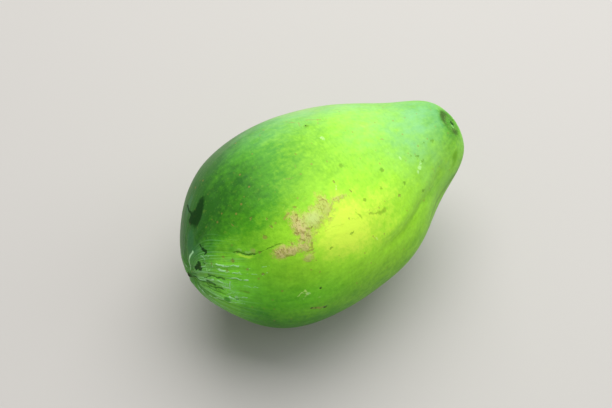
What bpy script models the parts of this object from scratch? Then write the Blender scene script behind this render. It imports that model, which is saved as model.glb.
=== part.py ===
"""A whole papaya lying on its side: one solid fruit, its blossom end towards -X and its neck towards +X.

The skin is a UV sphere whose poles become the blossom tip and the stem end. Every vertex is moved onto the
fruit's surface: a pear-like outline with a blunt neck, five soft lobes from the five seed walls inside, a
core line that curves up along the neck, and a shallow dish where the stem broke off. The fruit then lies
down and gets a small flat spot below.

Metres, +Z up. The origin is on the resting plane, below the middle of the fruit's bounding box.
"""

import math

import bmesh
import bpy
from mathutils import Matrix, Vector

# Driving dimensions.
LENGTH = 0.160  # along the core line, from the blossom tip to the stem end
LYING_TILT = math.radians(6.5)  # the neck is thinner, so its end of the core line settles lower
FLAT_DEPTH = 0.0006  # skin pressed away below, where the fruit rests

# The core line is straight from the blossom tip, and then an arc that lifts the neck and turns it to -Y.
NECK_BEGINS = 0.4  # share of the length where the arc starts
NECK_BEND = math.radians(42.0)
NECK_TURN = math.radians(15.0)  # how far the plane of the arc leans from upright

# Outline: control values at angles evenly spaced from the blossom tip to the stem end. The radius is
# fullness x half the length x sin(angle), so 1 everywhere would be a ball.
FULLNESS = (0.71, 0.66, 0.745, 0.68, 0.63, 0.585, 0.455, 0.53, 0.72)

# Five lobes, as shares of the radius. They stand out more towards both ends.
LOBES = 5
LOBE_TURN = math.radians(50.0)
LOBE_HEIGHT = 0.012
LOBE_AT_STEM = 0.020
LOBE_AT_BLOSSOM = 0.008
ENDS_BEGIN = 0.1  # share of half the length, from the middle, where that change starts

# Dish of the stem scar, whose middle sits a little to one side of the end of the core line.
SCAR_ANGLE = math.radians(172.0)
SCAR_AROUND = math.radians(118.0)
SCAR_RADIUS = 0.0088
SCAR_DEPTH = 0.0006

# Facets: rings from tip to tip, and sides around.
RINGS = 60
SIDES = 48

# The block that trims the flat spot.
TRIM_WIDTH = 2 * LENGTH
TRIM_HEIGHT = 0.02

SKIN_COLOUR = (0.25, 0.55, 0.05, 1.0)
SKIN_ROUGHNESS = 0.4


def clear_scene():
    for old in list(bpy.data.objects):
        bpy.data.objects.remove(old, do_unlink=True)


def new_collection(name):
    collection = bpy.data.collections.new(name)
    bpy.context.scene.collection.children.link(collection)
    return collection


def fullness(angle):
    """Uniform cubic B-spline of the control values, mirrored at both ends so that the tips are round."""
    controls = (FULLNESS[1],) + FULLNESS + (FULLNESS[-2],)
    position = angle / math.pi * (len(FULLNESS) - 1)
    first = min(int(position), len(FULLNESS) - 2)
    t = position - first
    weights = (
        (1 - t) ** 3 / 6,
        (3 * t**3 - 6 * t**2 + 4) / 6,
        (-3 * t**3 + 3 * t**2 + 3 * t + 1) / 6,
        t**3 / 6,
    )
    return sum(weight * control for weight, control in zip(weights, controls[first:]))


def end_share(along):
    """0 over the middle of the fruit, rising smoothly to 1 at the end that `along` runs towards."""
    return max(0.0, (along - ENDS_BEGIN) / (1 - ENDS_BEGIN)) ** 2


def core_frame(share):
    """The point on the core line at a share of its length, and the rotation of a cross-section there."""
    arc_length = (1 - NECK_BEGINS) * LENGTH
    arc_radius = arc_length / NECK_BEND
    bend = NECK_BEND * max(0.0, share - NECK_BEGINS) / (1 - NECK_BEGINS)
    lift = Vector((0.0, -math.sin(NECK_TURN), math.cos(NECK_TURN)))
    straight = min(share, NECK_BEGINS) * LENGTH - LENGTH / 2
    point = Vector((straight + arc_radius * math.sin(bend), 0.0, 0.0))
    point += lift * arc_radius * (1 - math.cos(bend))
    hinge = Vector((1.0, 0.0, 0.0)).cross(lift)
    return point, Matrix.Rotation(bend, 3, hinge)


def straight_point(angle, around):
    """The skin at an angle from the blossom tip and an angle around, if the core line were straight."""
    along = -math.cos(angle)
    lobe = LOBE_HEIGHT + LOBE_AT_STEM * end_share(along) + LOBE_AT_BLOSSOM * end_share(-along)
    radius = fullness(angle) * LENGTH / 2 * math.sin(angle)
    radius *= 1 + lobe * math.cos(LOBES * (around - LOBE_TURN))
    return Vector((along * LENGTH / 2, radius * math.cos(around), radius * math.sin(around)))


def skin_point(angle, around):
    """The same point on the curved core line, with the dish of the scar, before the fruit lies down."""
    point = straight_point(angle, around)
    gap = (point - straight_point(SCAR_ANGLE, SCAR_AROUND)).length
    sunk = 0.0
    if gap < SCAR_RADIUS:
        sunk = SCAR_DEPTH * (1 + math.cos(math.pi * gap / SCAR_RADIUS)) / 2
    core, turn = core_frame(point.x / LENGTH + 0.5)
    return core + turn @ Vector((-sunk, point.y, point.z))


def skin_material():
    material = bpy.data.materials.new("papaya_skin")
    material.use_nodes = True
    shader = material.node_tree.nodes["Principled BSDF"]
    shader.inputs["Base Color"].default_value = SKIN_COLOUR
    shader.inputs["Roughness"].default_value = SKIN_ROUGHNESS
    shader.inputs["Metallic"].default_value = 0.0
    return material


def make_fruit(collection):
    mesh = bpy.data.meshes.new("papaya")
    bm = bmesh.new()
    bmesh.ops.create_uvsphere(bm, u_segments=SIDES, v_segments=RINGS, radius=1.0)
    lie_down = Matrix.Rotation(LYING_TILT, 3, "Y")
    for vertex in bm.verts:
        angle = math.acos(max(-1.0, min(1.0, -vertex.co.z)))
        around = math.atan2(vertex.co.y, vertex.co.x)
        vertex.co = lie_down @ skin_point(angle, around)
    low = Vector([min(vertex.co[axis] for vertex in bm.verts) for axis in range(3)])
    high = Vector([max(vertex.co[axis] for vertex in bm.verts) for axis in range(3)])
    middle = (low + high) / 2
    bmesh.ops.translate(bm, verts=bm.verts, vec=(-middle.x, -middle.y, -low.z - FLAT_DEPTH))
    bmesh.ops.recalc_face_normals(bm, faces=bm.faces)
    bm.to_mesh(mesh)
    bm.free()
    mesh.shade_smooth()
    mesh.materials.append(skin_material())
    fruit = bpy.data.objects.new("papaya", mesh)
    collection.objects.link(fruit)
    return fruit


def make_flat_spot(fruit, collection):
    """Trims the underside to the resting plane, with a block whose top face lies on that plane."""
    mesh = bpy.data.meshes.new("resting_plane_cutter")
    bm = bmesh.new()
    size = Matrix.Diagonal((TRIM_WIDTH, TRIM_WIDTH, TRIM_HEIGHT, 1.0))
    below = Matrix.Translation((0.0, 0.0, -TRIM_HEIGHT / 2))
    bmesh.ops.create_cube(bm, size=1.0, matrix=below @ size)
    bm.to_mesh(mesh)
    bm.free()
    cutter = bpy.data.objects.new("resting_plane_cutter", mesh)
    cutter.hide_render = True
    cutter.display_type = "WIRE"
    collection.objects.link(cutter)
    trim = fruit.modifiers.new("flat_spot", "BOOLEAN")
    trim.operation = "DIFFERENCE"
    trim.solver = "EXACT"
    trim.object = cutter


def main():
    clear_scene()
    fruit = make_fruit(new_collection("papaya"))
    make_flat_spot(fruit, new_collection("papaya_cutters"))


main()
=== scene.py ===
import math
from itertools import product

import bmesh
import bpy
import numpy as np
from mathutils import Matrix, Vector


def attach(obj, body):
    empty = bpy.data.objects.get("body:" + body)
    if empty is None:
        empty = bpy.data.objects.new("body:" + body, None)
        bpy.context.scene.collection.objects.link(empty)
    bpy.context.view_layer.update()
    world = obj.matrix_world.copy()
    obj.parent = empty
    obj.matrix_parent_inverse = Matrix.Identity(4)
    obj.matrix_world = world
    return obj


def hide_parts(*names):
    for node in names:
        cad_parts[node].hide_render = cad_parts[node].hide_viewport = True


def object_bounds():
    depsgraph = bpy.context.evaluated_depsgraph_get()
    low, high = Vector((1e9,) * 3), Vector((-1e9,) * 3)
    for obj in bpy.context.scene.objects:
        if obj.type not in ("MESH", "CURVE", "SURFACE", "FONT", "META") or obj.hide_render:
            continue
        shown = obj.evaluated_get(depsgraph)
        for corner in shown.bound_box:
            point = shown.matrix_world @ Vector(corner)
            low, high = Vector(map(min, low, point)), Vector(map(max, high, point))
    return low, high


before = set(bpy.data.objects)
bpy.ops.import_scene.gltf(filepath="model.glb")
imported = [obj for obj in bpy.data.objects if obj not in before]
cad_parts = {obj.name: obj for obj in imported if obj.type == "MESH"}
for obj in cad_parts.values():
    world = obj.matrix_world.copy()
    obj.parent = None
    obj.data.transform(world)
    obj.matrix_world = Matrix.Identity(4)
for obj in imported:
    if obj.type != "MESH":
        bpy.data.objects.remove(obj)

cad_low, cad_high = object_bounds()

# ---------------------------------------------------------------------------------------------------------
# THE FRUIT. One whole papaya, picked green and just starting to ripen: firm flesh under a thin waxy skin.
# It grew in one piece. The core line is straight from the blossom tip and then curves up along the neck,
# and five soft lobes run from end to end over the seed walls. Lengths on the skin are in millimetres.
# ---------------------------------------------------------------------------------------------------------

MM = 0.001
LENGTH = 160.0
LYING_TILT = math.radians(6.5)
NECK_BEGINS = 0.4
NECK_BEND = math.radians(42.0)
NECK_TURN = math.radians(15.0)

# The outline, at angles evenly spaced from the blossom tip to the stem end. 1 everywhere would be a ball.
FULLNESS = (0.71, 0.66, 0.745, 0.68, 0.63, 0.585, 0.455, 0.53, 0.72)

# The lobes, as shares of the radius. They stand out more towards both ends.
LOBES = 5
LOBE_TURN = math.radians(50.0)
LOBE_HEIGHT = 0.012
LOBE_AT_STEM = 0.020
LOBE_AT_BLOSSOM = 0.008
ENDS_BEGIN = 0.1

RINGS = 300
SIDES = 310
STREAK = 60  # the length on the skin that counts as 1 in the size of a lengthwise streak


def fullness(angle):
    """How full the outline is at an angle from the blossom tip: a cubic B-spline, mirrored at both ends."""
    controls = np.array((FULLNESS[1],) + FULLNESS + (FULLNESS[-2],))
    position = angle / math.pi * (len(FULLNESS) - 1)
    first = np.minimum(position.astype(int), len(FULLNESS) - 2)
    t = position - first
    weights = (
        (1 - t) ** 3 / 6,
        (3 * t**3 - 6 * t**2 + 4) / 6,
        (-3 * t**3 + 3 * t**2 + 3 * t + 1) / 6,
        t**3 / 6,
    )
    return sum(weight * controls[first + step] for step, weight in enumerate(weights))


def straight_place(angle, around):
    """A place on the fruit as if its core were straight and it had no lobes. Marks are laid out on this."""
    radius = fullness(angle) * LENGTH / 2 * np.sin(angle)
    return np.stack((-np.cos(angle) * LENGTH / 2, radius * np.cos(around), radius * np.sin(around)), -1)


def grown_place(angle, around):
    """The same place on the fruit as it grew, with its lobes and its curved neck."""
    along = -np.cos(angle)
    at_stem = np.clip((along - ENDS_BEGIN) / (1 - ENDS_BEGIN), 0, None) ** 2
    at_blossom = np.clip((-along - ENDS_BEGIN) / (1 - ENDS_BEGIN), 0, None) ** 2
    lobe = LOBE_HEIGHT + LOBE_AT_STEM * at_stem + LOBE_AT_BLOSSOM * at_blossom
    radius = fullness(angle) * LENGTH / 2 * np.sin(angle)
    radius = radius * (1 + lobe * np.cos(LOBES * (around - LOBE_TURN)))
    share = (1 + along) / 2
    arc_radius = (1 - NECK_BEGINS) * LENGTH / NECK_BEND
    bend = NECK_BEND * np.clip(share - NECK_BEGINS, 0, None) / (1 - NECK_BEGINS)
    # In the leaning plane of the neck's curve: how far the skin stands off the core line, and beside it.
    off = radius * np.sin(around - NECK_TURN)
    beside = radius * np.cos(around - NECK_TURN)
    x = np.minimum(share, NECK_BEGINS) * LENGTH + (arc_radius - off) * np.sin(bend)
    up = arc_radius - (arc_radius - off) * np.cos(bend)
    y = beside * math.cos(NECK_TURN) - up * math.sin(NECK_TURN)
    z = beside * math.sin(NECK_TURN) + up * math.cos(NECK_TURN)
    lying_x = x * math.cos(LYING_TILT) + z * math.sin(LYING_TILT)
    lying_z = z * math.cos(LYING_TILT) - x * math.sin(LYING_TILT)
    return np.stack((lying_x, y, lying_z), -1) * MM


ball = bmesh.new()
bmesh.ops.create_uvsphere(ball, u_segments=SIDES, v_segments=RINGS, radius=1.0)
fruit_mesh = bpy.data.meshes.new("papaya_fruit")
ball.to_mesh(fruit_mesh)
ball.free()
fruit_mesh.shade_smooth()
unit = np.empty(len(fruit_mesh.vertices) * 3)
fruit_mesh.vertices.foreach_get("co", unit)
unit = unit.reshape(-1, 3)
angle = np.arccos(np.clip(-unit[:, 2], -1, 1))
around = np.arctan2(unit[:, 1], unit[:, 0])
straight = straight_place(angle, around)


def along_and_round(turn):
    """Places for streaks that run from end to end: how far along the fruit, and which way round it."""
    return np.stack((straight[:, 0] / STREAK, np.cos(turn), np.sin(turn)), -1)


lengthwise = along_and_round(around)


def smooth(value, low, high):
    """0 at low and 1 at high, with a soft rise between. High may be below low, for a fall."""
    t = np.clip((value - low) / (high - low), 0, 1)
    return t * t * (3 - 2 * t)


def cloud(places, size, seed):
    """Soft unevenness from -1 to 1, in lumps of about one size."""
    dots = np.random.default_rng(seed).uniform(-1, 1, (64, 64, 64))
    spot = places / np.array(size) + 32
    cell = np.floor(spot).astype(int)
    t = spot - cell
    t = t * t * (3 - 2 * t)
    total = 0
    for corner in product((0, 1), repeat=3):
        weight = np.prod(np.where(corner, t, 1 - t), axis=1)
        total = total + weight * dots[tuple(((cell + corner) % 64).T)]
    return total


def mark_place(angle_degrees, around_degrees):
    """Where a mark sits, from its angle from the blossom tip and its angle around, both in degrees."""
    return straight_place(np.radians(angle_degrees), np.radians(around_degrees))


def patch(angle_degrees, around_degrees, half_length, half_width, slant=0.0):
    """A soft oval, 1 in its middle. Its length runs along the fruit, or slant degrees off that."""
    centre = mark_place(angle_degrees, around_degrees)
    round_turn = math.radians(around_degrees)
    across = np.array((0.0, -math.sin(round_turn), math.cos(round_turn)))
    along = mark_place(angle_degrees + 1, around_degrees) - mark_place(angle_degrees - 1, around_degrees)
    along /= np.linalg.norm(along)
    outward = np.cross(along, across)
    turn = math.radians(slant)
    offset = straight - centre
    long_way = offset @ (along * math.cos(turn) + across * math.sin(turn)) / half_length
    wide_way = offset @ (across * math.cos(turn) - along * math.sin(turn)) / half_width
    deep_way = offset @ outward / (half_length + half_width)
    return np.exp(-(long_way**2 + wide_way**2 + deep_way**2))


# Growth leaves broad low dents, and faint ribs from end to end that are strongest towards the two ends.
height = 0.40 * cloud(straight, (30, 20, 20), 1) + 0.12 * cloud(straight, (14, 8, 8), 2)
ribbed = 0.4 + 0.6 * smooth(abs(straight[:, 0]), 30, 75)
height += 0.10 * cloud(lengthwise, (0.3, 0.12, 0.12), 3) * ribbed

# The fruit is a little flatter along one upper flank, and fuller low down on the other side.
height -= 1.5 * patch(101, 48, 22, 12) + 1.3 * patch(140, 50, 13, 9) + 0.6 * patch(98, 50, 8, 8)
height += 1.3 * patch(104, 187, 22, 13)

skin = bpy.data.materials.new("papaya_skin")
skin.use_nodes = True
skin_tree = skin.node_tree
fruit_mesh.materials.append(skin)


class Field:
    """A value that changes over the skin: a socket of its material. Arithmetic on it adds Math nodes."""

    def __init__(self, socket):
        self.socket = socket

    @classmethod
    def node(cls, kind, settings, sockets, output=0):
        """Adds a node, sets its settings, and then gives its sockets their values or links."""
        made = skin_tree.nodes.new(kind)
        for name, value in settings.items():
            if name != "stops":
                setattr(made, name, value)
        stops = settings.get("stops", ())
        for place_on_ramp, stop_colour in stops[1:-1]:
            made.color_ramp.elements.new(place_on_ramp).color = stop_colour
        for end in (0, -1) if stops else ():
            made.color_ramp.elements[end].position, made.color_ramp.elements[end].color = stops[end]
        for name, value in sockets.items():
            if isinstance(value, Field):
                skin_tree.links.new(made.inputs[name], value.socket)
            else:
                made.inputs[name].default_value = value
        return cls(made.outputs[output])

    @classmethod
    def sum(cls, operation, first, second):
        return cls.node("ShaderNodeMath", {"operation": operation}, {0: first, 1: second})

    def __add__(self, other):
        return Field.sum("ADD", self, other)

    def __radd__(self, other):
        return Field.sum("ADD", other, self)

    def __sub__(self, other):
        return Field.sum("SUBTRACT", self, other)

    def __rsub__(self, other):
        return Field.sum("SUBTRACT", other, self)

    def __mul__(self, other):
        return Field.sum("MULTIPLY", self, other)

    def __rmul__(self, other):
        return Field.sum("MULTIPLY", other, self)

    def __abs__(self):
        return Field.sum("ABSOLUTE", self, 0.0)

    def rise(self, low, high):
        """0 at low and 1 at high, with a soft rise between. High may be below low, for a fall."""
        sockets = {"Value": self, "From Min": low, "From Max": high}
        return Field.node("ShaderNodeMapRange", {"interpolation_type": "SMOOTHSTEP"}, sockets)

    def or_more(self, other):
        return Field.sum("MAXIMUM", self, other)


def stored(name, values):
    """Keeps a value for each vertex on the mesh, for the material to read."""
    layer = fruit_mesh.attributes.new(name, "FLOAT", "POINT")
    layer.data.foreach_set("value", values.astype(np.float32))
    return Field.node("ShaderNodeAttribute", {"attribute_name": name}, {}, output="Fac")


def scaled(vector, scale, shift=(0.0, 0.0, 0.0)):
    """A colour or place times a scale for each of its three parts, plus a shift."""
    sockets = {0: vector, 1: scale, 2: shift}
    return Field.node("ShaderNodeVectorMath", {"operation": "MULTIPLY_ADD"}, sockets)


def mottle(places, size, seed, detail=2.0):
    """Clouds from -1 to 1 in the skin's colour or finish, in lumps of about one size."""
    sizes = size if isinstance(size, tuple) else (size, size, size)
    spot = scaled(places, tuple(1 / s for s in sizes), (seed * 7.3, seed * 3.1, seed * 5.7))
    level = Field.node("ShaderNodeTexNoise", {}, {"Vector": spot, "Scale": 1.0, "Detail": detail})
    return level * 3.2 - 1.6


def between(operation, first, second, output="Vector"):
    """Vector Math on two places."""
    return Field.node("ShaderNodeVectorMath", {"operation": operation}, {0: first, 1: second}, output)


def tint(colour, other, share):
    """The colour, with a share of another colour mixed in."""
    return Field.node("ShaderNodeMix", {"data_type": "RGBA"}, {0: share, 6: colour, 7: other}, output=2)


def stored_places(name, places):
    """Keeps a place for each vertex on the mesh, for the material to read."""
    layer = fruit_mesh.attributes.new(name, "FLOAT_VECTOR", "POINT")
    layer.data.foreach_set("vector", places.astype(np.float32).ravel())
    return Field.node("ShaderNodeAttribute", {"attribute_name": name}, {}, output="Vector")


place = stored_places("place", straight)
round_part = scaled(place, (0.0, 1.0, 1.0))
round_way = Field.node("ShaderNodeVectorMath", {"operation": "NORMALIZE"}, {0: round_part})
strip_place = scaled(place, (1 / STREAK, 0.0, 0.0), round_way)

# Ripening, and painted shade. The skin turns from deep green through yellow-green to yellow, first on the
# cheek by the scab.
# The rows near 186 to 200 degrees around darken the lower side for the shade that falls there: painted
# shade.
# Each row is a place (degrees from the blossom tip, degrees around), a half length, a half width and a
# change in ripeness.
EVEN_RIPENESS = 0.48
RIPENING_AND_SHADE = (
    (74, 134, 24, 18, 0.50),
    (102, 138, 38, 26, 0.32),
    (114, 78, 22, 18, 0.20),
    (120, 104, 22, 9, -0.10),
    (32, 134, 15, 16, 0.34),
    (52, 126, 8, 10, 0.14),
    (24, 168, 10, 16, 0.26),
    (40, 76, 36, 32, -0.48),
    (66, 40, 28, 13, -0.34),
    (20, 42, 24, 16, -0.22),
    (42, 62, 14, 5, 0.10),
    # Painted shade: this row and the next darken the lower side, where less light reaches.
    (52, 200, 36, 16, -0.32),
    (96, 186, 30, 12, -0.08),
    (148, 164, 18, 16, 0.14),
    (10, 135, 10, 12, 0.16),
    (164, 112, 12, 20, -0.26),
    (88, 285, 46, 30, 0.26),
    (120, 232, 30, 22, -0.12),
    (45, 330, 30, 34, -0.30),
    (72, 240, 20, 12, -0.14),
    (112, 308, 22, 16, 0.12),
)
GREENS = (
    (0.00, (0.018, 0.120, 0.001, 1.0)),
    (0.25, (0.070, 0.300, 0.002, 1.0)),
    (0.50, (0.225, 0.540, 0.012, 1.0)),
    (0.75, (0.370, 0.780, 0.026, 1.0)),
    (1.00, (0.700, 0.970, 0.070, 1.0)),
)
ripened_and_shaded = EVEN_RIPENESS + sum(amount * patch(*oval) for *oval, amount in RIPENING_AND_SHADE)
ripeness_and_shade = stored("ripeness_and_shade", ripened_and_shaded)
ripeness_and_shade = ripeness_and_shade + 0.05 * mottle(place, (26.0, 14.0, 14.0), 1)
ripeness_and_shade = ripeness_and_shade + 0.08 * mottle(place, (6.0, 4.5, 4.5), 2, detail=5.0)
ripeness_and_shade = ripeness_and_shade + 0.04 * mottle(strip_place, (0.30, 0.06, 0.06), 3, detail=4.0)
ripeness_and_shade = ripeness_and_shade + 0.10 * mottle(place, 1.9, 4, detail=6.0)
colour = Field.node("ShaderNodeValToRGB", {"stops": GREENS}, {"Fac": ripeness_and_shade})

# Below the crack the flank stays a fresher green, with less yellow in it. The far flank is chafed and
# greyer along its top, and that grey also stands in for the pale sheen along the upper edge: partly
# chafing, partly painted sheen.
FRESHENING = (0.62, 1.04, 0.90)
fresher = stored("fresh", patch(30, 150, 20, 22) + 0.8 * patch(56, 168, 24, 12))
colour = tint(colour, scaled(colour, FRESHENING), fresher)
CHAFED_AND_SHEEN_GREY = (0.50, 0.46, 0.34, 1.0)
chafing_and_sheen = stored("chafed_and_sheen", 0.34 * patch(102, 38, 40, 16) + 0.05 * patch(62, 46, 20, 8))
chafing_and_sheen = chafing_and_sheen * (1.0 + 0.9 * mottle(strip_place, (0.30, 0.05, 0.05), 26, detail=4.0))
colour = tint(colour, CHAFED_AND_SHEEN_GREY, chafing_and_sheen)

# Bloom and painted sheen: the thin pale wax on the neck and along the top, worn through in small patches.
# Its pale bluish tint there also stands in for the sheen of the windows on the upper side: painted sheen.
BLOOM_AND_SHEEN = (0.22, 0.55, 0.27, 1.0)
waxed_and_sheen = 0.38 * patch(138, 96, 24, 22) + 0.30 * patch(112, 50, 36, 14) + 0.30 * patch(82, 56, 30, 16)
waxed_and_sheen += 0.20 * patch(154, 76, 14, 14) - 0.24 * patch(160, 130, 12, 14) + 0.20 * patch(12, 190, 16, 20)
waxed_and_sheen += 0.14 * patch(108, 92, 16, 12) - 0.16 * patch(132, 66, 12, 10)
waxed_and_sheen += 0.30 * patch(150, 270, 40, 30) + 0.12 * patch(60, 300, 50, 40)
worn = 0.9 + 0.5 * mottle(place, (8.0, 5.0, 5.0), 5, detail=5.0)
bloom_and_sheen = stored("bloom_and_sheen", np.clip(waxed_and_sheen, 0, 1)) * worn
colour = tint(colour, BLOOM_AND_SHEEN, bloom_and_sheen)
roughness = 0.42 + 0.30 * bloom_and_sheen
bump = 0.03 * mottle(place, 0.9, 6) + 0.06 * mottle(place, (5.0, 3.0, 3.0), 7)

# Breathing pores: tiny pale dots all over, and a few brown ones where a pore has corked over.
PORE_SPACING = 1.7
pore_cell = {"Vector": place, "Scale": 1 / PORE_SPACING}
pore = Field.node("ShaderNodeTexVoronoi", {}, pore_cell, output="Distance").rise(0.30, 0.08)
PORE_GREEN = (0.34, 0.66, 0.08, 1.0)
colour = tint(colour, PORE_GREEN, 0.09 * pore)
bump = bump + 0.012 * pore

SPECK_SPACING = 3.6
speck_cell = {"Vector": place, "Scale": 1 / SPECK_SPACING}
speck_gap = Field.node("ShaderNodeTexVoronoi", {}, speck_cell, output="Distance")
speck_luck = Field.node("ShaderNodeTexVoronoi", {}, speck_cell, output="Color")
speck_size = Field.node("ShaderNodeSeparateColor", {}, {0: speck_luck}, output=0)
speck = (0.17 * speck_size.rise(0.40, 1.0) - speck_gap).rise(-0.04, 0.05)
SPECK_BROWN = (0.30, 0.20, 0.05, 1.0)
colour = tint(colour, SPECK_BROWN, 0.50 * speck)

# ---------------------------------------------------------------------------------------------------------
# THE BLOSSOM END. The flower's dried style left a dark pip in a puckered dimple. Fine fibres run out from
# it under the skin, strongest below, as silvery ridges and dark slits, with a little dried milky sap. The
# paleness of the ridges and sap is partly painted highlight and sheen, and the darkness of the slits is
# painted shade.
# ---------------------------------------------------------------------------------------------------------


def hump(value, middle, half_width):
    """1 where the value is at the middle, fading away on both sides of it."""
    return np.exp(-(((value - middle) / half_width) ** 2))


# The fibres swirl a little on one side, and show most on the side that lies below.
FIBRES_SWIRL_AT = 112
FIBRES_SHOW_AT = 158
tip_distance = np.linalg.norm(straight - mark_place(0.0, 0.0), axis=1)
swirl = 1.4 * np.clip(np.degrees(angle) - 12, 0, 26) * hump(np.degrees(around), FIBRES_SWIRL_AT, 36)
fibre_way = along_and_round(around - np.radians(swirl))
below = smooth(np.cos(around - math.radians(FIBRES_SHOW_AT)), 0.25, 0.85)
fibrous = smooth(tip_distance, 44, 14) * (0.16 + 0.84 * below)

fibres = cloud(fibre_way, (0.35, 0.10, 0.10), 4) + 0.7 * cloud(fibre_way, (0.5, 0.05, 0.05), 6)
height += 0.34 * fibres * fibrous * smooth(tip_distance, 1.5, 8)

# The skin puckers in pleats round a dimple, and the pip stands up in the middle of it.
PLEATS = 9
PLEAT_HEIGHT = 0.30
DIMPLE_RADIUS = 4.6
DIMPLE_DEPTH = 0.8
PIP_HEIGHT = 1.2
pucker = np.cos(PLEATS * around + 1.5 * cloud(lengthwise, (0.5, 0.7, 0.7), 7))
height += PLEAT_HEIGHT * pucker * smooth(tip_distance, 1.5, 5) * smooth(tip_distance, 15, 7)
height -= DIMPLE_DEPTH * hump(tip_distance, DIMPLE_RADIUS, 2.4)
height += PIP_HEIGHT * smooth(tip_distance, 2.4, 0.6)


def along_line(places):
    """For a line through places: how far each vertex is to one side, and its share of the way along."""
    points = [mark_place(*one) for one in places]
    lengths = [np.linalg.norm(end - start) for start, end in zip(points, points[1:])]
    best = np.full(len(straight), np.inf)
    side, share = np.zeros(len(straight)), np.zeros(len(straight))
    outward = np.stack((np.zeros(len(straight)), np.cos(around), np.sin(around)), -1)
    passed = 0.0
    for start, end, length in zip(points, points[1:], lengths):
        direction = (end - start) / length
        offset = straight - start
        reach = np.clip(offset @ direction, 0, length)
        gap = np.linalg.norm(offset - reach[:, None] * direction, axis=1)
        left = np.sign(np.sum(np.cross(outward, direction) * offset, axis=1))
        nearer = gap < best
        best = np.where(nearer, gap, best)
        side = np.where(nearer, gap * left, side)
        share = np.where(nearer, (passed + reach) / sum(lengths), share)
        passed += length
    return side, share


def scored(rows):
    """1 along the middle of each stroke, fading beside it. A row is a start, an end and a half width."""
    gaps = [abs(along_line((row[:2], row[2:4]))[0]) / (row[4] + 0.5) for row in rows]
    return np.exp(-np.min(gaps, axis=0) ** 2)


def shaken_place(distance, noise_sockets):
    """The place, shaken by up to a distance, so that what is drawn on it has a natural edge."""
    shake = Field.node("ShaderNodeTexNoise", {}, {"Vector": place} | noise_sockets, output="Color")
    return between("ADD", place, scaled(shake, (2 * distance,) * 3, (-distance,) * 3))


rough_place = shaken_place(1.3, {"Scale": 0.9})
bent_place = shaken_place(1.2, {"Scale": 0.35, "Detail": 1.0})


def strokes(rows):
    """1 in the middle of each stroke and 0 at its edge. A row is a start, an end and a half width."""
    nearest = None
    for start_angle, start_around, end_angle, end_around, half_width in rows:
        start = mark_place(start_angle, start_around)
        run = mark_place(end_angle, end_around) - start
        offset = between("SUBTRACT", bent_place, start)
        share = between("DOT_PRODUCT", offset, run / (run @ run), output="Value")
        share = Field.node("ShaderNodeClamp", {}, {"Value": share})
        passed = Field.node("ShaderNodeVectorMath", {"operation": "SCALE"}, {0: run, "Scale": share})
        gap = between("DISTANCE", offset, passed, output="Value")
        level = 1 - gap * (1 / half_width)
        nearest = level if nearest is None else nearest.or_more(level)
    return nearest


# Each fibre shows as a silvery ridge with a dark slit beside it. The ridge's paleness is partly a painted
# highlight, and the dark slit is painted shadow.
fibre_place = stored_places("fibre_way", fibre_way)
fibre_share = stored("fibrous", fibrous)
coarse_fibre = mottle(fibre_place, (0.22, 0.075, 0.075), 8)
fine_fibre = mottle(fibre_place, (0.20, 0.026, 0.026), 17)
silver_and_highlight = fibre_share * (0.6 * coarse_fibre + fine_fibre).rise(0.0, 0.8)
SILVER_HIGHLIGHT_GREEN = (0.38, 0.86, 0.36, 1.0)
colour = tint(colour, SILVER_HIGHLIGHT_GREEN, 0.85 * silver_and_highlight)
slits = fibre_share * (coarse_fibre + 0.6 * fine_fibre).rise(-0.25, -0.75)
FIBRE_SHADOW = (0.010, 0.12, 0.002, 1.0)
colour = tint(colour, FIBRE_SHADOW, 0.75 * slits)
bump = bump + 0.14 * fibre_share * (coarse_fibre + fine_fibre)

# Painted reflection: the greyer green of a window's reflection over smooth facets of the end. Darker
# places, partly wax rubbed away and partly painted dark reflection where that window reflection breaks,
# where the skin looks almost black-green. And deep slits, painted dark for the shade in them.
# Each row is a stroke: where it starts and ends (degrees from the blossom tip, degrees around), and its
# half width.
RUB_AND_DARK_REFLECTION_STROKES = (
    (22.5, 87, 22.2, 94, 0.7), (22.2, 94, 22.5, 101, 1.2), (14.8, 107.5, 13.2, 115.5, 1.7),
    (13.5, 111.5, 10, 108.5, 1.2), (32.5, 40, 30, 57, 0.9), (23, 100, 21, 103.5, 0.5),
)
SLITS = (
    (16.5, 133, 21, 138.5, 0.6), (21, 138.5, 25, 142.3, 0.7), (14.5, 147.5, 18, 153, 1.5),
    (14, 163, 18.5, 158.5, 0.45), (18.5, 158.5, 22.5, 158, 0.7), (2.5, 160, 7, 156.5, 0.8),
    (17, 112, 18, 115, 0.5), (28.5, 169, 29.5, 168, 0.5), (12, 137, 20, 136, 0.35),
    (12, 152, 21, 163, 0.35),
)
ragged = 0.10 * mottle(place, 2.4, 9, detail=4.0)
# Painted reflection: the greyer green laid on these facets stands in for a window's sheen across the
# blossom end.
sheen_facet_patches = 0.6 * patch(17, 86, 7.5, 5.0, 20) + 0.8 * patch(20, 64, 6, 3.0) + patch(33, 45, 6, 2.2)
sheen_facet = (stored("sheen_facet", sheen_facet_patches) + 1.5 * ragged).rise(0.22, 0.72)
SHEEN_FACET_GREEN = (0.035, 0.180, 0.050, 1.0)
colour = tint(colour, SHEEN_FACET_GREEN, 0.65 * sheen_facet)
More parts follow.
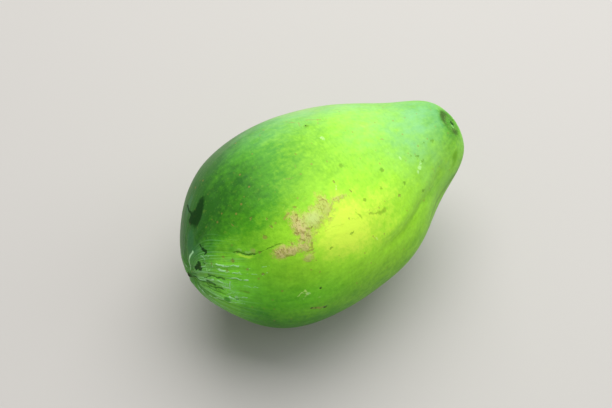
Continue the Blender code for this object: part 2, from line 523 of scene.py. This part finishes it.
# The near-black places are partly rubbed wax and partly painted dark reflection, where the window's sheen
# breaks.
rubs_and_dark_reflection = stored("rubbed_and_dark_reflection", patch(33, 65, 8.0, 2.7, -14) + patch(29, 60, 4.5, 3.0, 30))
rubs_and_dark_reflection = rubs_and_dark_reflection + 1.5 * ragged + 0.14 * mottle(place, (1.2, 0.9, 0.9), 27, detail=3.0)
rubbed_and_dark_reflection = rubs_and_dark_reflection.rise(0.26, 0.66).or_more(strokes(RUB_AND_DARK_REFLECTION_STROKES).rise(0.0, 0.45))
RUBBED_AND_DARK_REFLECTION_GREEN = (0.002, 0.036, 0.001, 1.0)
colour = tint(colour, RUBBED_AND_DARK_REFLECTION_GREEN, 0.90 * rubbed_and_dark_reflection)
# Painted shade: the slits are painted near-black green for the shade that falls in them.
slit_shade = strokes(SLITS).rise(0.0, 0.6)
SLIT_SHADE_GREEN = (0.016, 0.120, 0.002, 1.0)
colour = tint(colour, SLIT_SHADE_GREEN, 0.80 * slit_shade)
SLIT_DEPTH = 0.45
height -= SLIT_DEPTH * scored(SLITS)
roughness = roughness + 0.25 * rubbed_and_dark_reflection

# Dried sap: milky streaks with a lace of fine threads beside them, and one green blister ringed with sap.
# The pale streaks along the lower edge and beside the blister also stand in for sheen and a glint there:
# partly sap, partly painted highlight.
SAP_STREAKS = (
    (15.5, 80, 10.5, 75.5, 1.0), (10.5, 75.5, 3.5, 74, 0.9), (12, 359, 6, 342, 0.6),
    (24.5, 121, 27.5, 126.5, 0.55), (27.5, 126.5, 34, 130.5, 0.35), (23, 127, 26.5, 132, 0.55),
    (26.5, 132, 33, 136.5, 0.35), (12, 143, 19.5, 142, 0.45), (19.5, 142, 25, 146.5, 0.5),
    (23.5, 153, 26.5, 154.5, 0.8), (27.5, 145, 26.8, 151.5, 0.5), (25.8, 167, 27.2, 168.6, 0.7),
    (28.6, 166.2, 30.5, 163.8, 0.6), (30.5, 163.8, 34, 163.5, 0.4), (7.5, 196, 12, 196, 0.6),
    (12, 196, 17, 186, 0.5), (17, 186, 23, 173.5, 0.4), (29, 140.5, 35.5, 144.5, 0.45),
)
LACE = (
    (18.5, 99.5, 19.5, 108, 0.4), (19.5, 108, 22.5, 107.5, 0.35), (19.5, 108, 17.8, 117.5, 0.4),
    (17.8, 117.5, 17.2, 125.5, 0.4), (14, 116, 17.8, 117.5, 0.35), (17.2, 125.5, 22, 122, 0.35),
    (24, 150, 28, 160, 0.4), (28, 160, 25, 165, 0.35), (24, 138, 29, 141, 0.35), (27, 134, 36, 139, 0.3),
    (33, 150, 40, 152, 0.3), (36, 139, 44, 142, 0.3), (25, 176, 32, 172, 0.35), (36, 134, 45, 137, 0.3),
)
SAP_HEIGHT = 0.12
BLISTER_HEIGHT = 0.5
blister = patch(24.5, 172, 1.9, 1.8)
height += SAP_HEIGHT * scored(SAP_STREAKS) + BLISTER_HEIGHT * blister
BLISTER_GREEN = (0.040, 0.260, 0.010, 1.0)
colour = tint(colour, BLISTER_GREEN, 0.8 * stored("blister", blister).rise(0.2, 0.7))
milky = stored("milky", patch(25, 151, 6, 4) + patch(28, 167, 5, 4) + 0.7 * patch(19, 112, 4.5, 6.0))
curdled = milky * (0.3 + 0.9 * mottle(place, (1.6, 0.8, 0.8), 10, detail=4.0))
sap_and_sheen = curdled.rise(0.15, 0.90) * 0.5
sap_and_sheen = sap_and_sheen.or_more(strokes(SAP_STREAKS).rise(0.0, 0.7)).or_more(0.6 * strokes(LACE).rise(0.0, 0.8))
sap_and_sheen = sap_and_sheen.or_more(0.8 * stored("sap_and_sheen", patch(57, 163, 2.0, 1.4)).rise(0.5, 1.2))
SAP_AND_SHEEN_PALE = (0.50, 0.90, 0.46, 1.0)
colour = tint(colour, SAP_AND_SHEEN_PALE, 0.85 * sap_and_sheen)
bump = bump + 0.14 * sap_and_sheen

pip = stored("pip", smooth(tip_distance, 2.2, 0.8))
PIP_BROWN = (0.030, 0.028, 0.010, 1.0)
colour = tint(colour, PIP_BROWN, 0.9 * pip)
CORK_ROUGHNESS = 0.8
roughness = roughness + (CORK_ROUGHNESS - roughness) * pip

# ---------------------------------------------------------------------------------------------------------
# THE STEM END. The stalk was snapped off and left a shallow green dish: two corky crescents on its rim, a
# ring of fibre ends, and a dark pit with a painted highlight on its lip. A shallow trough and a brown line
# run down the neck.
# ---------------------------------------------------------------------------------------------------------

SCAR_ANGLE = 172.0
SCAR_AROUND = 118.0
SCAR_RADIUS = 8.8
SCAR_DEPTH = 0.6
SCAR_RIM_HEIGHT = 0.25
PIT_DEPTH = 0.7
PIT_RADIUS = 1.3
scar_offset = straight - mark_place(SCAR_ANGLE, SCAR_AROUND)
scar_distance = np.linalg.norm(scar_offset, axis=1)
scar_turn = np.degrees(np.arctan2(scar_offset[:, 2], scar_offset[:, 1]))
pit_distance = np.linalg.norm(straight - mark_place(175, 128), axis=1)
height -= SCAR_DEPTH * smooth(scar_distance, SCAR_RADIUS, 2.0)
height += SCAR_RIM_HEIGHT * hump(scar_distance, SCAR_RADIUS, 1.6)
height -= PIT_DEPTH * hump(pit_distance, 0.0, PIT_RADIUS)

# The trough has a low bank on one side, and a soft dent lies below it.
TROUGH_DEPTH = 0.7
BANK_HEIGHT = 0.4
NECK_DENT_DEPTH = 1.3
TROUGH = ((84, 157), (95, 158), (108, 160), (121, 160), (131, 163), (138, 157.5), (146, 154))
trough_side, trough_share = along_line(TROUGH)
trough_fade = smooth(trough_share, 0.0, 0.3) * smooth(trough_share, 1.0, 0.85)
height -= TROUGH_DEPTH * trough_fade * hump(trough_side, 0.0, 3.0)
height += BANK_HEIGHT * trough_fade * hump(trough_side, 6.5, 3.0)
height -= NECK_DENT_DEPTH * patch(130, 187, 12, 9)
trough = stored("trough", trough_fade * hump(trough_side, 0.0, 2.6))
neck_streak = mottle(strip_place, (0.35, 0.07, 0.07), 19, detail=3.0)
TROUGH_GREEN = (0.12, 0.30, 0.01, 1.0)
colour = tint(colour, TROUGH_GREEN, 0.50 * trough * neck_streak.rise(-0.6, 0.6))

# The brown line along the neck's lower side, and two olive stains above it.
EDGE = ((157, 189), (148, 196), (140, 191), (132, 187), (122, 186), (112, 188))
edge_side, edge_share = along_line(EDGE)
edge_fade = smooth(edge_share, 0.0, 0.25) * smooth(edge_share, 1.0, 0.6)
edge_gap = stored("edge_side", np.clip(edge_side, -9, 9)) + 0.5 * mottle(place, 2.5, 20)
brown_edge = abs(edge_gap).rise(2.1, 0.4) * stored("edge_fade", edge_fade)
EDGE_BROWN = (0.085, 0.17, 0.004, 1.0)
colour = tint(colour, EDGE_BROWN, 0.56 * brown_edge * neck_streak.rise(-0.9, 0.3))
stains = stored("neck_stains", patch(152.5, 168, 3.0, 2.2) + 0.5 * patch(147, 174, 4, 1.6))
STAIN_OLIVE = (0.12, 0.34, 0.003, 1.0)
colour = tint(colour, STAIN_OLIVE, 0.75 * (stains + ragged).rise(0.1, 0.9))

# The dish's colour and the crescents on its rim.
scar_gap = stored("scar_gap", scar_distance) + 1.1 * mottle(place, 4.0, 11, detail=4.0)
scar = scar_gap.rise(10.2, 6.0)


def turned_to(middle, half_width):
    """1 on the side of the scar that lies at this turn, and falling off both ways round."""
    away = (scar_turn - middle + 180) % 360 - 180
    return hump(away, 0.0, half_width)


corked = 0.36 + 0.85 * turned_to(46, 50) + 0.75 * turned_to(190, 24) - 0.2 * turned_to(290, 40)
crescents = hump(scar_distance, 5.6, 2.3) * corked
scar_grain = mottle(place, 1.3, 28, detail=4.0)
cork_rim = (stored("cork_rim", crescents) + 1.6 * ragged + 0.16 * scar_grain).rise(0.15, 0.95)
DISH_GREEN = (0.070, 0.270, 0.012, 1.0)
colour = tint(colour, DISH_GREEN, 0.70 * scar)
RIM_CORK = (0.055, 0.130, 0.018, 1.0)
colour = tint(colour, RIM_CORK, 0.88 * cork_rim)

# Inside the rim, a ring of small corky ends where the stalk's fibres ran through, and the pit.
FIBRE_ENDS = 11
FIBRE_RING = 4.4
fibre_ends = 0.5 + 0.5 * np.cos(np.radians(FIBRE_ENDS * scar_turn))
fibre_ends *= hump(scar_distance, FIBRE_RING, 0.9)
height -= 0.12 * fibre_ends
fibre_end = (stored("fibre_ends", fibre_ends) + 0.2 * scar_grain).rise(0.3, 1.0)
FIBRE_CORK = (0.20, 0.30, 0.07, 1.0)
colour = tint(colour, FIBRE_CORK, 0.45 * fibre_end)
# Painted highlight: a pale green glint on the pit's lip.
pit_glint = stored("pit_glint", patch(171.6, 136, 1.1, 1.5)).rise(0.2, 0.8)
PIT_GLINT_GREEN = (0.34, 0.66, 0.22, 1.0)
colour = tint(colour, PIT_GLINT_GREEN, 0.6 * pit_glint)
pit_gap = stored("stem_pit", pit_distance) + 3.0 * ragged
PIT_GREEN = (0.012, 0.060, 0.010, 1.0)
colour = tint(colour, PIT_GREEN, 0.92 * pit_gap.rise(2.0, 1.0))
SCAR_ROUGHNESS = 0.75
roughness = roughness + (SCAR_ROUGHNESS - roughness) * scar
bump = bump + 0.25 * scar * mottle(place, 0.8, 13, detail=4.0)

# ---------------------------------------------------------------------------------------------------------
# WOUNDS. Where a leaf stalk rubbed the young fruit, the skin healed over as a thin tan scab, blotched and
# crazed. A growth crack runs up to it from the blossom end, open at first with pale lips.
# ---------------------------------------------------------------------------------------------------------

# Each row is a place (degrees from the blossom tip, degrees around), a half length, a half width, a slant
# and a weight.
SCAB_HEIGHT = 0.16
SCAB_PATCHES = (
    (61.0, 121.5, 3.6, 7.4, 0, 1.0),
    (67.0, 121.5, 5.4, 5.0, 0, 1.0),
    (72.5, 118.8, 3.8, 6.2, 0, 0.9),
    (79.5, 118.5, 6.0, 1.8, 0, 0.75),
    (62.5, 129.5, 4.2, 3.4, 0, 0.44),
    (51.2, 130.8, 4.2, 3.0, 0, 1.0),
    (55.5, 132.2, 4.4, 2.2, 0, 1.0),
    (60.0, 133.2, 3.0, 1.3, 0, 0.75),
    (96.0, 6.0, 5.0, 2.6, 25, 0.9),
    (101.5, 12.0, 3.5, 1.6, 40, 0.8),
    (70.0, 270.0, 3.5, 2.0, 0, 0.8),
    (60.0, 140.0, 2.4, 2.0, 0, 0.95),
    (61.3, 136.2, 2.4, 2.6, 0, 0.50),
)
FLECK = 1.25
scab_field = 1 - np.prod([1 - weight * patch(*oval) for *oval, weight in SCAB_PATCHES], axis=0)
height += SCAB_HEIGHT * smooth(scab_field, 0.45, 0.75) * (1 + 0.5 * cloud(straight, (1.8, 1.8, 1.8), 5))

# The scab is tan, rosier at its lower end, pale where it has healed, with darker flecks and fine crazing.
fleck_cell = {"Vector": rough_place, "Scale": 1 / FLECK}
fleck_luck = Field.node("ShaderNodeTexVoronoi", {}, fleck_cell, output="Color")
fleck = Field.node("ShaderNodeSeparateColor", {}, {0: fleck_luck}, output=0)
dark_fleck = Field.node("ShaderNodeSeparateColor", {}, {0: fleck_luck}, output=1)
blotches = 0.16 * mottle(place, (3.0, 3.0, 3.0), 14, detail=4.0) + 0.40 * (fleck - 0.5)
scab_reach = stored("scab", scab_field) + blotches
scab = scab_reach.rise(0.22, 0.85)
YELLOWED_SKIN = (0.46, 0.56, 0.05, 1.0)
colour = tint(colour, YELLOWED_SKIN, 0.50 * scab_reach.rise(0.15, 0.60))
rosy = stored("rosy", patch(60.8, 122, 3.4, 8) + patch(54, 131, 9, 4) - 0.6 * patch(68, 120.5, 5, 4))
rosy = rosy * 0.9 + 0.25 * mottle(place, (3.0, 4.0, 4.0), 15) + 0.25 * (dark_fleck - 0.5)
TAN_GREEN = (0.50, 0.56, 0.14, 1.0)
TAN_ROSY = (0.70, 0.50, 0.27, 1.0)
cork = tint(TAN_GREEN, TAN_ROSY, rosy)
healed = stored("healed", patch(66.5, 121.5, 4.4, 3.2) + 0.35 * patch(60, 140.3, 2, 1.8))
HEALED_SKIN = (0.62, 0.74, 0.27, 1.0)
cork = tint(cork, HEALED_SKIN, 0.8 * healed)
FLECK_OLIVE = (0.34, 0.34, 0.05, 1.0)
cork = tint(cork, FLECK_OLIVE, 0.55 * dark_fleck.rise(0.72, 0.92) * (1.0 - healed))
craze = mottle(place, (0.65, 1.9, 1.9), 22, detail=3.0).rise(0.05, 0.55) * (1.0 - 0.7 * healed)
CRAZE_BROWN = (0.30, 0.24, 0.05, 1.0)
cork = tint(cork, CRAZE_BROWN, 0.5 * craze)
colour = tint(colour, cork, 0.82 * scab)
roughness = roughness + (CORK_ROUGHNESS - roughness) * scab
bump = bump + 0.12 * scab - 0.12 * scab * craze

# Dark bars across the scab's thin arm, and brown dots and dashes round its edge.
SCAB_BARS = (
    (49.3, 128.3, 49.8, 131.0, 0.35), (50.4, 128.6, 50.9, 131.0, 0.35), (51.5, 129.2, 51.8, 131.2, 0.35),
    (52.4, 129.4, 52.9, 131.4, 0.45), (53.8, 130.2, 54.0, 131.8, 0.3), (60.5, 134.6, 63.0, 134.6, 0.3),
    (60.3, 136.0, 62.8, 136.2, 0.35), (60.0, 137.8, 62.4, 138.0, 0.3), (60.6, 132.4, 48.6, 127.8, 0.3),
    (62.6, 117.2, 60.8, 119.0, 0.4), (60.0, 121.4, 63.4, 121.8, 0.3), (58.6, 124.4, 59.6, 125.2, 0.6),
    (61.0, 125.4, 61.8, 126.2, 0.6), (63.0, 124.6, 65.0, 125.2, 0.6), (63.4, 129.0, 62.4, 128.0, 0.7),
    (59.4, 128.4, 60.6, 129.6, 0.8), (71.8, 115.2, 73.4, 115.6, 0.7), (54.5, 134.8, 52.8, 134.4, 0.7),
    (62.8, 133.4, 62.2, 135.2, 0.8), (56.0, 127.0, 56.4, 129.0, 0.6),
)
bars = strokes(SCAB_BARS).rise(0.0, 0.6)
BAR_BROWN = (0.25, 0.19, 0.04, 1.0)
colour = tint(colour, BAR_BROWN, 0.58 * bars)

# The crack: open near the blossom end, with a pale lip on each side, then a hairline up to the scab.
CRACK_DEPTH = 0.35
LIP_HEIGHT = 0.20
CRACK = (
    (33.5, 118.5), (36, 120), (38, 124), (40, 125.5), (42.5, 127), (45, 126), (51, 126.5), (56, 127.5),
)
crack_side, crack_share = along_line(CRACK)
opened = smooth(crack_share, 0.02, 0.16) * smooth(crack_share, 0.40, 0.28)
height -= CRACK_DEPTH * opened * hump(crack_side, 0.0, 0.9)
height += LIP_HEIGHT * opened * hump(abs(crack_side), 1.6, 0.9)
crack = stored("crack_side", np.clip(crack_side, -8, 8)) + 0.5 * mottle(place, 1.8, 16, detail=3.0)
crack_open = stored("crack_open", opened)
near_lip = (crack + 0.8).rise(-0.7, -0.2) * (crack + 0.8).rise(0.7, 0.2) * crack_open
NEAR_LIP_YELLOW = (0.48, 0.74, 0.05, 1.0)
colour = tint(colour, NEAR_LIP_YELLOW, 0.60 * near_lip)
far_lip = abs(crack - 1.3).rise(0.7, 0.2) * crack_open * mottle(place, 2.0, 25).rise(-0.5, 0.2)
FAR_LIP_GREEN = (0.40, 0.76, 0.20, 1.0)
colour = tint(colour, FAR_LIP_GREEN, 0.5 * far_lip)
hairline = stored("hairline", smooth(crack_share, 0.0, 0.05) * smooth(crack_share, 1.0, 0.30))
broken = mottle(place, 2.6, 23).rise(-0.5, 0.2).or_more(0.8 * crack_open)
cleft = abs(crack - 0.25).rise(0.50, 0.10) * broken * (0.35 + 0.65 * hairline)
cracked = stored("cracked", smooth(crack_share, 0, 0.02))
CLEFT_GREEN = (0.04, 0.12, 0.005, 1.0)
colour = tint(colour, CLEFT_GREEN, 0.80 * cleft * cracked)
crack_end = stored("crack_end", patch(41.5, 123.3, 2.0, 1.8)) + 0.4 * mottle(place, 1.3, 24)
CRACK_END_TAN = (0.36, 0.34, 0.12, 1.0)
colour = tint(colour, CRACK_END_TAN, 0.5 * crack_end.rise(0.4, 1.0))
bump = bump - 0.25 * cleft

# ---------------------------------------------------------------------------------------------------------
# MARKS. Black pits where insects fed, long corked pores stretched as the fruit grew, brown knocks and pale
# nicks. A spot's row is a place (degrees from the blossom tip, degrees around) and a radius.
# ---------------------------------------------------------------------------------------------------------


def spots(rows, stretch=1.0):
    """1 in the middle of each spot and 0 at its rim. Stretch draws the spots out along the fruit."""
    drawn = scaled(rough_place, (1 / stretch, 1.0, 1.0))
    nearest = None
    for angle_degrees, around_degrees, radius in rows:
        centre = mark_place(angle_degrees, around_degrees) / (stretch, 1.0, 1.0)
        level = 1 - between("DISTANCE", drawn, centre, output="Value") * (1 / radius)
        nearest = level if nearest is None else nearest.or_more(level)
    return nearest


BROWN_SPOTS = (
    (48, 119, 1.4), (52, 115, 0.8), (52, 110, 0.8), (47, 105, 0.8), (29, 118, 0.7), (79, 130, 0.6),
    (32, 125, 1.3), (28, 132, 0.9), (42, 141, 0.9), (75, 86, 0.7), (81, 110, 1.0), (87, 118, 0.8),
    (62, 116.4, 0.9), (63, 112, 0.8), (43.8, 126.2, 0.8), (36.5, 135, 0.9), (111.5, 137, 1.3),
    (22, 119, 0.7), (110, 300, 1.6), (70, 260, 1.4), (60, 330, 1.3), (96, 230, 1.2), (52, 280, 1.0),
    (130, 330, 1.1), (82, 345, 1.0), (118, 250, 0.9), (40, 245, 1.1), (76, 282, 1.2),
    (70, 14, 1.1), (64, 226, 1.0), (84, 352, 1.3), (58, 22, 0.9), (106, 20, 1.1), (76, 32, 0.9),
    (92, 338, 1.2), (118, 4, 0.9),
)
LONG_PORES = (
    (90, 70, 1.5), (90, 104, 1.3), (92, 126, 1.1), (110, 117, 1.4), (104, 126, 0.8), (129, 121, 0.8),
    (117.5, 133.5, 1.1), (132, 125, 1.0), (133, 132, 0.9), (146, 122, 1.1), (124, 152, 1.0),
    (140, 118, 0.8), (78, 138, 1.0), (69, 140, 0.9), (100, 250, 1.4), (84, 310, 1.2), (74, 225, 1.1),
    (122, 290, 1.2), (58, 300, 1.0), (108, 345, 1.2), (140, 260, 1.0), (88, 228, 1.3), (50, 262, 1.1),
    (86, 14, 1.5), (110, 356, 1.4), (66, 346, 1.3), (78, 2, 1.1), (124, 18, 1.2), (94, 24, 1.2),
    (52, 8, 1.1),
)
BLACK_PITS = (
    (62, 162, 0.9), (105, 280, 1.0), (58, 176, 1.1), (59.5, 177, 0.6), (63.5, 179, 1.3), (90, 69.5, 0.7),
    (91.8, 83.6, 0.5),
)
PALE_NICKS = (
    (129.3, 134, 1.7), (127.4, 136, 1.3), (131.2, 131.8, 1.1), (91.5, 84, 1.7), (123, 117, 1.0),
    (90, 320, 1.2),
)
brown = spots(BROWN_SPOTS).rise(0.0, 0.5)
SPOT_BROWN = (0.26, 0.19, 0.05, 1.0)
colour = tint(colour, SPOT_BROWN, 0.62 * brown)
pale = spots(PALE_NICKS).rise(0.0, 0.6)
NICK_GREEN = (0.60, 0.96, 0.40, 1.0)
colour = tint(colour, NICK_GREEN, 0.5 * pale)
long_pore = spots(LONG_PORES, stretch=1.9).rise(-0.1, 0.6)
LONG_PORE_OLIVE = (0.12, 0.28, 0.008, 1.0)
colour = tint(colour, LONG_PORE_OLIVE, 0.60 * long_pore)

# Longer marks are strokes: brown scratches, olive smears and pale ticks.
SCRATCHES = (
    (57.5, 114.8, 60.0, 113.4, 1.1), (70, 250, 83, 257, 0.6), (62, 2, 71, 9, 0.6), (84, 20, 88, 26, 0.5),
    (120, 262, 124, 270, 0.5), (84, 60, 88, 64, 0.5), (87, 68, 89, 64, 0.5), (93, 64, 99, 68, 0.5),
    (96, 71, 98, 67, 0.4), (101, 69, 105, 68, 0.5), (81.5, 110.5, 81.0, 112, 0.6),
    (89, 146.5, 89.5, 150, 0.6), (58, 176, 63.5, 179, 0.9), (66, 96, 68, 98, 0.4),
    (40, 100, 41, 104, 0.4), (72, 92, 71, 95, 0.4), (118, 96, 121, 98, 0.4), (100, 330, 106, 334, 0.6),
)
SMEARS = (
    (91, 134, 96, 136.5, 1.1), (96, 136.5, 101, 137.5, 1.5), (84, 129, 86, 133, 0.9),
    (31, 157, 34.5, 158, 1.1),
)
PALE_TICKS = (
    (53, 163.5, 56, 160, 0.45), (56, 160, 58, 164, 0.45), (54.5, 160, 57, 164, 0.4),
    (55, 166.5, 57, 162, 0.4), (81, 111.5, 79.5, 114, 0.5), (95, 268, 99, 274, 0.5),
    (90, 148, 90.5, 150.5, 0.5), (60, 168, 64, 170, 0.35), (112, 280, 116, 284, 0.5),
)
scratch = strokes(SCRATCHES).rise(0.0, 0.8)
SCRATCH_BROWN = (0.34, 0.20, 0.07, 1.0)
colour = tint(colour, SCRATCH_BROWN, 0.55 * scratch)
smear = strokes(SMEARS).rise(0.0, 1.0)
SMEAR_OLIVE = (0.14, 0.27, 0.008, 1.0)
colour = tint(colour, SMEAR_OLIVE, 0.55 * smear)
tick = strokes(PALE_TICKS).rise(0.0, 0.8)
TICK_YELLOW = (0.66, 0.90, 0.26, 1.0)
colour = tint(colour, TICK_YELLOW, 0.65 * tick)
black = spots(BLACK_PITS).rise(0.1, 0.6)
PIT_BLACK = (0.012, 0.03, 0.003, 1.0)
colour = tint(colour, PIT_BLACK, 0.85 * black)
bump = bump - 0.10 * brown - 0.08 * long_pore - 0.25 * black
roughness = roughness + 0.2 * brown

# ---------------------------------------------------------------------------------------------------------
# THE WHOLE FRUIT. The skin takes its heights, is pressed flat where it rests, and lies where the CAD fruit
# does. It is all one piece, with one skin.
# ---------------------------------------------------------------------------------------------------------

grown = grown_place(angle, around)
cad_middle = (cad_low + cad_high) / 2
grown[:, 0] += cad_middle.x - (grown[:, 0].min() + grown[:, 0].max()) / 2
grown[:, 1] += cad_middle.y - (grown[:, 1].min() + grown[:, 1].max()) / 2
grown[:, 2] += cad_high.z - grown[:, 2].max()
fruit_mesh.vertices.foreach_set("co", grown.ravel())
fruit_mesh.update()
outward = np.empty(len(grown) * 3)
fruit_mesh.vertices.foreach_get("normal", outward)
grown += outward.reshape(-1, 3) * height[:, None] * MM
grown[:, 2] = np.maximum(grown[:, 2], cad_low.z)
fruit_mesh.vertices.foreach_set("co", grown.ravel())
fruit_mesh.update()

WAXY_SHINE = 0.15
shader = skin_tree.nodes["Principled BSDF"]
shader.inputs["Specular IOR Level"].default_value = WAXY_SHINE
normal = Field.node("ShaderNodeBump", {}, {"Strength": 1.0, "Distance": MM, "Height": bump})
skin_tree.links.new(shader.inputs["Base Color"], colour.socket)
skin_tree.links.new(shader.inputs["Roughness"], roughness.socket)
skin_tree.links.new(shader.inputs["Normal"], normal.socket)

fruit = bpy.data.objects.new("papaya_fruit", fruit_mesh)
bpy.context.scene.collection.objects.link(fruit)
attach(fruit, "root")
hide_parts("papaya")

# ---------------------------------------------------------------------------------------------------------
# THE STUDIO. A plain pale floor, a large soft window behind and above, a weak one at the side, and a
# camera that looks down on the fruit. None of it is part of the fruit.
# ---------------------------------------------------------------------------------------------------------

FLOOR_HALF = 4.0
sheet = bmesh.new()
bmesh.ops.create_grid(sheet, x_segments=1, y_segments=1, size=FLOOR_HALF)
floor_mesh = bpy.data.meshes.new("studio_floor")
sheet.to_mesh(floor_mesh)
sheet.free()
floor_paint = bpy.data.materials.new("studio_floor_paint")
floor_paint.use_nodes = True
floor_shader = floor_paint.node_tree.nodes["Principled BSDF"]
floor_shader.inputs["Base Color"].default_value = (0.47, 0.45, 0.43, 1.0)
floor_shader.inputs["Roughness"].default_value = 0.7
floor_mesh.materials.append(floor_paint)
floor = bpy.data.objects.new("studio_floor", floor_mesh)
floor.location.z = cad_low.z
bpy.context.scene.collection.objects.link(floor)

VIEW_AZIMUTH = -34.96
VIEW_ELEVATION = 58.0
VIEW_DISTANCE = 0.4644
AIM_LEFT = 0.0096
AIM_HEIGHT = 0.0500
LENS = 52.94
SENSOR = 36.0


def towards(azimuth, elevation):
    """The direction from the fruit to a place at that azimuth and elevation, in degrees."""
    turn, rise = math.radians(azimuth), math.radians(elevation)
    return Vector((math.sin(turn) * math.cos(rise), -math.cos(turn) * math.cos(rise), math.sin(rise)))


right_way = Vector((math.cos(math.radians(VIEW_AZIMUTH)), math.sin(math.radians(VIEW_AZIMUTH)), 0.0))
aim = Vector((cad_middle.x, cad_middle.y, cad_low.z + AIM_HEIGHT)) - right_way * AIM_LEFT
camera_data = bpy.data.cameras.new("studio_camera")
camera_data.sensor_width = SENSOR
camera_data.lens = LENS
camera = bpy.data.objects.new("studio_camera", camera_data)
camera.location = aim + towards(VIEW_AZIMUTH, VIEW_ELEVATION) * VIEW_DISTANCE
camera.rotation_euler = towards(VIEW_AZIMUTH, VIEW_ELEVATION).to_track_quat("Z", "Y").to_euler()
bpy.context.scene.collection.objects.link(camera)
bpy.context.scene.camera = camera


def soft_window(name, azimuth, elevation, distance, size, watts, colour):
    """A square soft light that faces the fruit."""
    light_data = bpy.data.lights.new(name, "AREA")
    light_data.shape = "SQUARE"
    light_data.size = size
    light_data.energy = watts
    light_data.color = colour
    light = bpy.data.objects.new(name, light_data)
    light.location = aim + towards(azimuth, elevation) * distance
    light.rotation_euler = towards(azimuth, elevation).to_track_quat("Z", "Y").to_euler()
    bpy.context.scene.collection.objects.link(light)


soft_window("window_behind", 132, 63, 1.5, 1.7, 34, (1.0, 1.0, 0.98))
soft_window("window_beside", 60, 40, 1.6, 0.9, 5, (0.94, 0.98, 1.0))

sky = bpy.data.worlds.new("studio_sky")
sky.use_nodes = True
sky_light = sky.node_tree.nodes["Background"]
sky_light.inputs["Color"].default_value = (0.97, 0.99, 1.0, 1.0)
sky_light.inputs["Strength"].default_value = 0.42
bpy.context.scene.world = sky
bpy.context.scene.view_settings.view_transform = "Standard"
